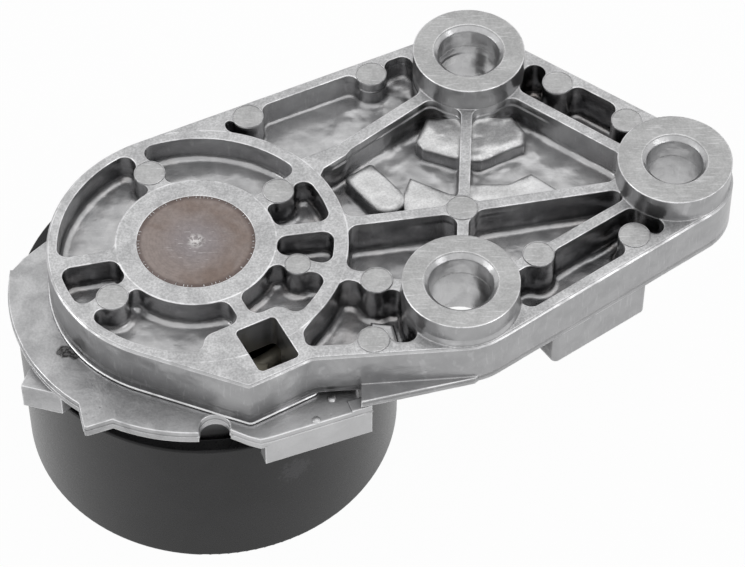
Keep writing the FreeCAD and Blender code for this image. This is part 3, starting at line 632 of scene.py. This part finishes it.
# Painted highlights along the edges and the rings, with the real hairlines, as nearly white metal.
painted_edge_glint = product(tree, rounded_edges["Edge"], shade(tree, grains["Patch"], 0.36, 0.58, 0.3, 1.0))
glints_and_hairlines = strongest(tree, without(tree, painted_edge_glint, product(tree, shaded_hollows, 0.5)), strongest(tree, hairlines, ring_edge_glints))
tree.links.new(blend_colours(tree, glints_and_hairlines, shaded_skin, grey(0.92, 0.01)), shader.inputs["Base Color"])
print("bracket colours:", len(tree.nodes), "nodes")

# %% [markdown]
# ### Gloss and relief of the bracket
#
# The pockets are a little shinier than the tops, which is why their floors show soft streaks. The relief adds
# the grain, slow rolls left by the flow on the floors, faint rings on the turned bosses and the proud rings
# of the cup. The rolls are weaker under the bracket and stronger round the soft steps.

# %% Give the bracket its gloss and relief
tree.links.new(maths(tree, "ADD", product(tree, shaded_hollows, 0.1), 0.9), shader.inputs["Metallic"])
rough = blend_values(tree, shaded_hollows, blend_values(tree, tops, 0.3, 0.4), 0.2)
tree.links.new(blend_values(tree, smooth, rough, 0.34), shader.inputs["Roughness"])

turned = maths(tree, "SINE", product(tree, bore, 2 * math.pi * 1900))
turned = product(tree, turned, 0.012, boss_faces)
rolls = product(tree, noise(tree, object_place(tree), 170.0, 1.5),
                blend_values(tree, strongest(tree, tops, smooth), 6.0, 0.0),
                shade(tree, height, 0.5 * mm, 1.5 * mm, 0.2, 1.0),
                blend_values(tree, soft_steps, 1.0, 1.9))
relief = product(tree, grains["Height"], blend_values(tree, smooth, 1.0, 0.25))
for part in (turned, rolls, product(tree, raised, tops)):
    relief = maths(tree, "ADD", relief, part)
relief_of(tree, shader, relief, 0.2 * mm, 0.6, rounded_edges["Normal"])
print("bracket finish:", len(tree.nodes), "nodes")

# %% [markdown]
# ## The arm's duller skin
#
# The arm is cast from the same metal, but its flange was left as it came from the die: duller, with larger
# blurred patches, and painted paler towards the lug as painted light. A dark ragged spot, with a smaller one
# beside it, sits on it beside the cup.

# %% Mix the arm's aluminium
arm_finish, tree, shader = finish_of("arm_finish", 0.8, 0.42)
grains = effect(tree, grain, Fleck_Scale=2400.0, Patch_Scale=200.0, Grit=0.15, Waves=1.2, Pinholes=0.2)
rounded_edges = effect(tree, edges, Width=0.4 * mm)
# Painted shade in the arm's hollows.
shaded_hollows = effect(tree, hollow_shade, Reach=16 * mm, Shut=0.05, Open=0.6)["Hollow"]
skin = blend_colours(tree, shade(tree, grains["Patch"], 0.32, 0.68, 0.0, 1.0), grey(0.36), grey(0.52))
skin = blend_colours(tree, 1.0, skin, shade(tree, grains["Fleck"], 0.36, 0.64, 0.93, 1.07), "MULTIPLY")
# Painted light: the flange paler towards the lug.
skin = blend_colours(tree, within(tree, plan_distance(tree, 22.0, -34.0), 8, 34, 0.55), skin, grey(0.72))
wall = effect(tree, walls, Softness=0.5)["Mask"]
# Painted shade: upright walls darker.
skin = blend_colours(tree, product(tree, wall, 0.25), skin, grey(0.30))
shaded_skin = blend_colours(tree, shaded_hollows, skin, grey(0.22))

splash_place = tuple(from_pivot(-21.9, -15.6, flange_level))
drip_place = tuple(from_pivot(-20.2, -16.3, flange_level))
splash = effect(tree, spot, Centre=splash_place, Radius=1.4 * mm, Raggedness=0.28)["Mask"]
drip = effect(tree, spot, Centre=drip_place, Radius=1.0 * mm, Raggedness=0.35)["Mask"]
dark_spot = product(tree, strongest(tree, splash, drip), shade(tree, grains["Fleck"], 0.35, 0.7, 1.0, 0.6))
shaded_skin = blend_colours(tree, dark_spot, shaded_skin, colour(0.03, 0.028, 0.028))
# Painted highlight along the arm's edges.
painted_edge_glint = product(tree, rounded_edges["Edge"], shade(tree, grains["Patch"], 0.36, 0.58, 0.4, 0.95))
tree.links.new(blend_colours(tree, painted_edge_glint, shaded_skin, grey(0.95, 0.01)), shader.inputs["Base Color"])
tree.links.new(blend_values(tree, shaded_hollows, 0.36, 0.26), shader.inputs["Roughness"])
relief_of(tree, shader, grains["Height"], 0.22 * mm, 0.6, rounded_edges["Normal"])
print("arm finish:", len(tree.nodes), "nodes")

# %% [markdown]
# ## The pin's turned face
#
# The pin is plain steel, turned flat across its face, then warmed by the press until it took a brown tint. Fine
# rings run about its centre, and the tint comes and goes in soft patches. A rough pale mark sits at the centre,
# where the lathe's support left it, with a few scratches round it.

# %% Mix the pin's steel
pin_finish, tree, shader = finish_of("pin_finish", 0.8, 0.36)
rings = effect(tree, turning, Centre=tuple(pivot), Rings_per_Metre=1900.0)
grains = effect(tree, grain, Fleck_Scale=1500.0, Patch_Scale=95.0, Pinholes=0.1)
rounded_edges = effect(tree, edges, Width=0.3 * mm)
tint = blend_colours(tree, shade(tree, grains["Patch"], 0.38, 0.62, 0.0, 1.0),
                     colour(0.20, 0.155, 0.135), colour(0.26, 0.22, 0.205))
centre = within(tree, rings["Radius"], 1.5, 7.5, 0.75)
tint = blend_colours(tree, centre, tint, colour(0.27, 0.25, 0.26))
rim = shade(tree, rings["Radius"], 8.9 * mm, 9.7 * mm, 0.0, 0.7)
tint = blend_colours(tree, rim, tint, colour(0.1, 0.075, 0.07))
tint = blend_colours(tree, 1.0, tint, shade(tree, grains["Fleck"], 0.35, 0.65, 0.92, 1.09), "MULTIPLY")
across = effect(tree, scratches, Stretch=(600.0, 4200.0, 600.0), Turn=(0.0, 0.0, -0.15), Amount=0.55)["Mask"]
hub_mark = product(tree, within(tree, rings["Radius"], 0.6, 1.9), shade(tree, grains["Fleck"], 0.44, 0.56, 0.1, 1.0))
pale = strongest(tree, product(tree, across, centre, 0.65), product(tree, hub_mark, 0.85))
tint = blend_colours(tree, pale, tint, colour(0.72, 0.7, 0.69))
tree.links.new(tint, shader.inputs["Base Color"])
both = maths(tree, "ADD", product(tree, rings["Height"], 0.35), grains["Height"])
relief_of(tree, shader, both, 0.03 * mm, 0.5, rounded_edges["Normal"])
print("pin face turned about", tuple(round(value / mm, 1) for value in pivot[:2]))

# %% [markdown]
# ## The drum's black skin
#
# The drum is pressed steel with a thin black coat, satin rather than glossy, painted a little paler on its
# edges as a highlight, and scuffed where it was handled.

# %% Mix the drum's coat
drum_finish, tree, shader = finish_of("drum_finish", 0.0, 0.3)
shader.inputs["Specular IOR Level"].default_value = 0.28
grains = effect(tree, grain, Fleck_Scale=3000.0, Patch_Scale=90.0, Pinholes=0.1)
rounded_edges = effect(tree, edges, Width=0.4 * mm)
coat = blend_colours(tree, shade(tree, grains["Patch"], 0.3, 0.7, 0.0, 1.0),
                     colour(0.006, 0.006, 0.0065), colour(0.012, 0.0115, 0.0125))
scuff = effect(tree, spot, Centre=(-0.0645, -0.0395, -0.0215), Radius=2.6 * mm, Raggedness=1.4)["Mask"]
coat = blend_colours(tree, product(tree, scuff, 0.35), coat, grey(0.08))
# Painted highlight: the coat paler along its edges.
coat = blend_colours(tree, product(tree, rounded_edges["Edge"], 0.6), coat, grey(0.07))
tree.links.new(coat, shader.inputs["Base Color"])
tree.links.new(shade(tree, grains["Fleck"], 0.3, 0.7, 0.26, 0.34), shader.inputs["Roughness"])
relief_of(tree, shader, grains["Height"], 0.02 * mm, 0.5, rounded_edges["Normal"])
print("drum coat:", len(tree.nodes), "nodes")

# %% [markdown]
# ## The other metals, polymers and rubber
#
# The spring, rings, races, bushes, cage, seals and cap are mostly hidden, but they show in the window, under
# the drum and when the arm swings. Each gets grain of its own size on its own colour.

# %% Mix the smaller finishes


def plain_finish(name, pale, dark, edge_glint_tone, metallic, rough, fleck_scale, patch_scale, depth):
    """Material of two close tones, with its own grain, its depth in mm, and slightly paler edges as painted highlight.
    """
    made, tree, shader = finish_of(name, metallic, rough)
    grains = effect(tree, grain, Fleck_Scale=fleck_scale, Patch_Scale=patch_scale, Pinholes=0.1)
    rounded_edges = effect(tree, edges, Width=0.2 * mm)
    tone = blend_colours(tree, shade(tree, grains["Patch"], 0.3, 0.7, 0.0, 1.0), colour(*dark), colour(*pale))
    # Painted highlight: paler tone along the edges.
    tone = blend_colours(tree, product(tree, rounded_edges["Edge"], 0.7), tone, colour(*edge_glint_tone))
    tree.links.new(tone, shader.inputs["Base Color"])
    tree.links.new(shade(tree, grains["Fleck"], 0.3, 0.7, rough - 0.06, rough + 0.08), shader.inputs["Roughness"])
    relief_of(tree, shader, grains["Height"], depth * mm, 0.6, rounded_edges["Normal"])
    return made


# Slot, name, pale tone, dark tone, tone of the painted edge highlight, metallic, roughness, fleck and patch scale,
# depth
rows = [
    ("spring_steel", "spring_finish", (0.42, 0.39, 0.31), (0.24, 0.22, 0.18), (0.3, 0.29, 0.28),
     0.3, 0.45, 3200, 400, 0.04),
    ("ring_steel", "ring_finish", (0.12, 0.12, 0.125), (0.06, 0.06, 0.065), (0.4, 0.4, 0.4),
     0.7, 0.4, 3000, 500, 0.02),
    ("bearing_steel", "race_finish", (0.58, 0.58, 0.6), (0.5, 0.5, 0.52), (0.8, 0.8, 0.82),
     1.0, 0.24, 4000, 300, 0.006),
    ("ball_steel", "ball_finish", (0.66, 0.66, 0.68), (0.6, 0.6, 0.62), (0.8, 0.8, 0.82),
     1.0, 0.12, 4000, 300, 0.003),
    ("bush_polymer", "bush_finish", (0.3, 0.27, 0.21), (0.22, 0.2, 0.16), (0.24, 0.22, 0.18),
     0.0, 0.5, 3500, 500, 0.02),
    ("cage_polymer", "cage_finish", (0.5, 0.45, 0.3), (0.42, 0.37, 0.24), (0.6, 0.55, 0.4),
     0.0, 0.45, 3000, 400, 0.02),
    ("black_polymer", "cap_finish", (0.022, 0.022, 0.024), (0.014, 0.014, 0.015), (0.05, 0.05, 0.052),
     0.0, 0.48, 3600, 300, 0.05),
    ("seal_rubber", "seal_finish", (0.02, 0.02, 0.02), (0.012, 0.012, 0.012), (0.035, 0.035, 0.035),
     0.0, 0.62, 3000, 350, 0.04),
]
finishes = {slot_name: plain_finish(*row) for slot_name, *row in rows}
finishes.update(cast_alloy=bracket_finish, pin_steel=pin_finish, drum_steel=drum_finish)
print("finishes by slot:", sorted(finishes))

# %% [markdown]
# ## Give every solid its finish
#
# Each solid names a slot in the model's record, so the table from slot to material dresses them all.
# The bracket and the arm share a slot but not a look, so the arm is set by name afterwards.

# %% Assign the finishes
for solid in nodes.values():
    slot_name = solid.material_slots[0].material.name.split(".")[0]
    solid.material_slots[0].material = finishes[slot_name]
nodes["arm_casting"].material_slots[0].material = arm_finish
print("dressed:", len(nodes), "solids")

# %% [markdown]
# ## A merged copy of the spring
#
# The bracket holds the spring's upper leg and the arm holds its foot, so the coil winds when the arm swings. A
# merged copy of the solid, shaded smooth, stands for it, and the solid itself is hidden.

# %% Make a merged copy of the spring
joined = bmesh.new()
joined.from_mesh(nodes["torsion_spring"].data)
bmesh.ops.remove_doubles(joined, verts=joined.verts, dist=0.001 * mm)
wound = bpy.data.meshes.new("wound_spring")
joined.to_mesh(wound)
joined.free()
wound.shade_smooth()
wound.set_sharp_from_angle(angle=math.radians(40))
wound.materials.clear()
wound.materials.append(finishes["spring_steel"])
spring = bpy.data.objects.new("wound_spring", wound)
scene.collection.objects.link(spring)

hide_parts("torsion_spring")
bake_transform(spring)

# %% [markdown]
# ## Small pieces that repeat or follow a rule
#
# Geometry Nodes build what the press and the die repeat. Each tree below has named inputs for its sizes, runs
# once on a small mesh of points or a line, and is then turned into a plain mesh, so that nothing has to be
# computed again when the part is exported.

# %% Helpers for Geometry Nodes


def geometry_tree(name, inputs):
    """New Geometry Nodes tree with named inputs; returns the tree and its input and output nodes."""
    made = bpy.data.node_groups.new(name, "GeometryNodeTree")
    made.interface.new_socket("Geometry", in_out="INPUT", socket_type="NodeSocketGeometry")
    for label, kind, value in inputs:
        made.interface.new_socket(label, in_out="INPUT", socket_type=kind).default_value = value
    made.interface.new_socket("Finish", in_out="INPUT", socket_type="NodeSocketMaterial")
    made.interface.new_socket("Geometry", in_out="OUTPUT", socket_type="NodeSocketGeometry")
    return made, made.nodes.new("NodeGroupInput"), made.nodes.new("NodeGroupOutput")


def circle(tree, resolution, radius):
    """Closed curve round the origin."""
    return add(tree, "GeometryNodeCurvePrimitiveCircle", {"Resolution": resolution, "Radius": radius}).outputs[0]


def swept_along(tree, curve, profile):
    """Surface that a profile sweeps along a curve."""
    return add(tree, "GeometryNodeCurveToMesh", {"Curve": curve, "Profile Curve": profile}).outputs[0]


def placed_on(tree, points, instance, **more):
    """One copy of an instance on each point, with any other sockets given by name."""
    return add(tree, "GeometryNodeInstanceOnPoints", {"Points": points, "Instance": instance, **more}).outputs[0]


def own_size(tree):
    """The size that each point carries."""
    return add(tree, "GeometryNodeInputNamedAttribute", {"Name": "size"}, data_type="FLOAT").outputs["Attribute"]


def close_tree(tree, geometry, given, result):
    """End a tree as the export needs it: instances made real, shaded smooth, with a material."""
    real = add(tree, "GeometryNodeRealizeInstances", {"Geometry": geometry}).outputs[0]
    even = add(tree, "GeometryNodeSetShadeSmooth", {"Geometry": real}).outputs[0]
    done = add(tree, "GeometryNodeSetMaterial", {"Geometry": even, "Material": given.outputs["Finish"]}).outputs[0]
    tree.links.new(done, result.inputs["Geometry"])


print("geometry helpers ready")

# %% [markdown]
# ### From a tree to a piece
#
# A tree runs as a modifier on a mesh of points or a closed line. Its result is copied to a plain mesh, the
# faces are turned outwards, and the piece is told which body it rides on.

# %% Helpers that run a tree


def grow(name, tree, seed_mesh, body, finish, **sizes):
    """Run a tree on a mesh, keep the result as a plain mesh, and let it ride on a body."""
    holder = bpy.data.objects.new(name + "_seed", seed_mesh)
    scene.collection.objects.link(holder)
    modifier = holder.modifiers.new("grow", "NODES")
    modifier.node_group = tree
    sizes["Finish"] = finish
    for item in tree.interface.items_tree:
        if item.in_out == "INPUT" and item.name.replace(" ", "_") in sizes:
            modifier[item.identifier] = sizes[item.name.replace(" ", "_")]
    grown = bpy.data.meshes.new_from_object(holder.evaluated_get(bpy.context.evaluated_depsgraph_get()))
    bpy.data.objects.remove(holder)
    shape = bmesh.new()
    shape.from_mesh(grown)
    bmesh.ops.recalc_face_normals(shape, faces=shape.faces)
    shape.to_mesh(grown)
    shape.free()
    piece = bpy.data.objects.new(name, grown)
    scene.collection.objects.link(piece)
    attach(piece, body)
    print(name, "has", len(grown.polygons), "faces")


def points_mesh(name, places, sizes):
    """Mesh of loose points, each with a size that a tree can read."""
    made = bpy.data.meshes.new(name)
    made.from_pydata([tuple(place) for place in places], [], [])
    made.attributes.new("size", "FLOAT", "POINT").data.foreach_set("value", sizes)
    return made


def loop_mesh(name, places):
    """Mesh of one closed line through points in order."""
    made = bpy.data.meshes.new(name)
    made.from_pydata([tuple(place) for place in places], [(i, (i + 1) % len(places)) for i in range(len(places))], [])
    return made


print("growing helpers ready")

# %% [markdown]
# ### Witness rings round the ejector pads
#
# When the die opens, steel pins push the casting out by its pads. Metal creeps into the gap round each pin
# and leaves a thin raised ring. One small ring is placed on every pad and scaled to the pad's own radius,
# which travels with the point as an attribute.

# %% Grow the witness rings
rims, given, result = geometry_tree("witness_rings", [("Wire Share", FLOAT, 0.03), ("Inset Share", FLOAT, 0.97)])
ring = swept_along(rims, circle(rims, 48, given.outputs["Inset Share"]), circle(rims, 6, given.outputs["Wire Share"]))
close_tree(rims, placed_on(rims, given.outputs["Geometry"], ring, Scale=own_size(rims)), given, result)
pad_points = points_mesh("pad_points", [from_pivot(x, y, pad_level) for x, y, r in pads], [r * mm for x, y, r in pads])
grow("pad_witness_rings", rims, pad_points, "base", bracket_finish)

# %% [markdown]
# ### The knurled edge of the pin
#
# The pin is pressed into the bracket. Its knurled edge bites into the aluminium, which is pushed up between the
# teeth and shows as a ring of fine bright ticks on the pin's dark rim. A circle gives the places and the direction
# from the centre turns each tick. Only some are kept, and random sizes from a fixed seed keep the ring uneven.

# %% Grow the pin's teeth
teeth, given, result = geometry_tree(
    "edge_teeth",
    [("Count", "NodeSocketInt", 90), ("Circle Radius", FLOAT, 9.7 * mm), ("Tooth Length", FLOAT, 0.28 * mm),
     ("Share Kept", FLOAT, 0.55), ("Seed", "NodeSocketInt", 4)])
where = add(teeth, "GeometryNodeInputPosition").outputs[0]
turned = add(teeth, "FunctionNodeAlignRotationToVector", {"Vector": where}, axis="X").outputs[0]
tooth = add(teeth, "GeometryNodeMeshUVSphere", {"Segments": 8, "Rings": 5, "Radius": given.outputs["Tooth Length"]})
uneven = add(teeth, "FunctionNodeRandomValue", {"Min": (0.5, 0.18, 0.08), "Max": (1.2, 0.36, 0.2),
                                                "Seed": given.outputs["Seed"]}, data_type="FLOAT_VECTOR")
kept = add(teeth, "FunctionNodeRandomValue", {"Probability": given.outputs["Share Kept"],
                                              "Seed": given.outputs["Seed"]}, data_type="BOOLEAN")
placed = placed_on(teeth, circle(teeth, given.outputs["Count"], given.outputs["Circle Radius"]), tooth.outputs[0],
                   Selection=kept.outputs[3], Rotation=turned, Scale=uneven.outputs[0])
moved = add(teeth, "GeometryNodeTransform", {"Geometry": placed, "Translation": tuple(from_pivot(0, 0, rib_level))})
close_tree(teeth, moved.outputs[0], given, result)
grow("pin_edge_teeth", teeth, bpy.data.meshes.new("no_points"), "base", bracket_finish)

# %% [markdown]
# ### The parting line of the arm
#
# The two halves of the arm's die meet halfway down the flange, and metal creeps out between them as a low
# ridge right round the rim. To find its path I cut a copy of the arm with a level plane, walk round the
# edges that the cut leaves, and keep the longest loop. A curve through it then carries a small round profile.

# %% Find the rim and grow the ridge


def outline_at(solid, height):
    """Longest closed loop of the cut that a level plane makes through a solid, as points in order."""
    shape = bmesh.new()
    shape.from_mesh(solid.data)
    bmesh.ops.remove_doubles(shape, verts=shape.verts, dist=0.001 * mm)
    everything = shape.verts[:] + shape.edges[:] + shape.faces[:]
    bmesh.ops.bisect_plane(shape, geom=everything, plane_co=(0, 0, height), plane_no=(0, 0, 1),
                           clear_inner=True, clear_outer=True)
    loops = []
    left = dict.fromkeys(shape.verts)
    while left:
        walk = [left.popitem()[0]]
        while True:
            onward = [e.other_vert(walk[-1]) for e in walk[-1].link_edges if e.other_vert(walk[-1]) in left]
            if not onward:
                break
            walk.append(onward[0])
            left.pop(onward[0])
        loops.append([v.co.copy() for v in walk])
    shape.free()
    return max(loops, key=lambda loop: sum((a - b).length for a, b in zip(loop, loop[1:] + loop[:1])))


ridge, given, result = geometry_tree("rim_ridge", [("Ridge Radius", FLOAT, 0.2 * mm)])
path = add(ridge, "GeometryNodeMeshToCurve", {"Mesh": given.outputs["Geometry"]}).outputs[0]
close_tree(ridge, swept_along(ridge, path, circle(ridge, 6, given.outputs["Ridge Radius"])), given, result)
rim = outline_at(nodes["arm_casting"], flange_level - 1.25 * mm)
grow("arm_parting_line", ridge, loop_mesh("rim_path", rim), "arm", arm_finish)

# %% [markdown]
# ### The bead at the foot of the cup
#
# The cup's lowest edge carries a fine bead, coloured nearly white as a painted highlight, which shows as a pale
# line where the wall meets the arm's flange. The same cut gives its path, this time through the bracket, and the
# same tree sweeps it.

# %% Grow the foot bead
# Painted highlight: the bead is coloured nearly white.
rubbed_finish = plain_finish("rubbed_finish", (0.86, 0.86, 0.87), (0.6, 0.6, 0.605), (0.9, 0.9, 0.91),
                             0.9, 0.3, 2600.0, 420.0, 0.03)
bead_level = flange_level + 0.46 * mm
foot = outline_at(nodes["base_casting"], flange_level + 0.5 * mm)
foot_mesh = loop_mesh("foot_path", [(point.x, point.y, bead_level) for point in foot])
grow("cup_foot_bead", ridge, foot_mesh, "base", rubbed_finish, Ridge_Radius=0.26 * mm)

# %% [markdown]
# ### Pips on the flange
#
# Two small pips were cast on the flange near the right lug, where the die had vents. A flattened dome
# on each point is enough at this size.

# %% Grow the pips
pips, given, result = geometry_tree("cast_pips", [("Flatness", FLOAT, 0.45)])
dome = add(pips, "GeometryNodeMeshUVSphere", {"Segments": 20, "Rings": 12, "Radius": 1.0}).outputs[0]
squat = add(pips, "ShaderNodeCombineXYZ", {0: 1.0, 1: 1.0, 2: given.outputs["Flatness"]}).outputs[0]
scaled = add(pips, "ShaderNodeVectorMath", {0: squat, "Scale": own_size(pips)}, operation="SCALE").outputs[0]
close_tree(pips, placed_on(pips, given.outputs["Geometry"], dome, Scale=scaled), given, result)
pip_places = [from_pivot(23.0, -25.3, flange_level), from_pivot(20.5, -29.7, flange_level)]
grow("flange_pips", pips, points_mesh("pip_points", pip_places, [0.75 * mm] * 2), "arm", arm_finish)
